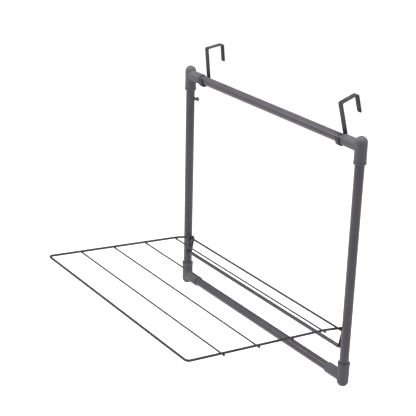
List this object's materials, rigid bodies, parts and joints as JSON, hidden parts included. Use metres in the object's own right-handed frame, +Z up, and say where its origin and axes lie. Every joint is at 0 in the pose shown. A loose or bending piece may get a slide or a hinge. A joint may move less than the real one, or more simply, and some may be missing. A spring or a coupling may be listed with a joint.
{
  "type": "over-door drying rack",
  "caption": "Tube frame that hangs over a door on two strip hooks, with a wire wing that folds down to dry laundry and folds up into the frame.",
  "frame": {"origin": "middle of the top rail's axis, the line that both hooks turn on and that the rack hangs from", "axes": "+Z up, +X to the right seen from the room, +Y towards the door, so the open wing reaches out along -Y"},
  "size_m": [0.5698, 0.4177, 0.5857],
  "materials": {
    "frame_paint": "semi-gloss dark grey powder coat",
    "connector_plastic": "matte moulded grey",
    "wire_paint": "satin dark grey powder coat",
    "hook_paint": "satin dark grey powder coat",
    "screw_steel": "blackened zinc",
    "bush_plastic": "black nylon"
  },
  "bodies": {
    "frame": {"left_upright": "frame_paint", "right_upright": "frame_paint", "top_rail_left": "frame_paint", "top_rail_right": "frame_paint", "top_rail_joiner": "frame_paint", "bottom_rail_left": "frame_paint", "bottom_rail_right": "frame_paint", "bottom_rail_joiner": "frame_paint", "top_left_corner": "connector_plastic", "top_right_corner": "connector_plastic", "bottom_left_corner": "connector_plastic", "bottom_right_corner": "connector_plastic", "corner_screws": "screw_steel", "left_wing_stop": "connector_plastic", "right_wing_stop": "connector_plastic", "left_pivot_bush": "bush_plastic", "right_pivot_bush": "bush_plastic"},
    "wing": {"wing_frame": "wire_paint", "pivot_rod": "wire_paint", "lower_bar": "wire_paint", "cross_wire_1": "wire_paint", "cross_wire_2": "wire_paint", "cross_wire_3": "wire_paint", "cross_wire_4": "wire_paint"},
    "left_hook": {"left_door_hook": "hook_paint"},
    "right_hook": {"right_door_hook": "hook_paint"}
  },
  "joints": [
    {"name": "wing_fold", "type": "hinge", "parent": "frame", "child": "wing", "pos_m": [0, 0, -0.3858], "axis": [-1, 0, 0], "range_deg": [0, 82.68]},
    {"name": "left_hook_swing", "type": "hinge", "parent": "frame", "child": "left_hook", "pos_m": [-0.2193, 0, 0], "axis": [1, 0, 0], "range_deg": [-96, 84]},
    {"name": "right_hook_swing", "type": "hinge", "parent": "frame", "child": "right_hook", "pos_m": [0.2193, 0, 0], "axis": [1, 0, 0], "range_deg": [-106, 74]}
  ]
}
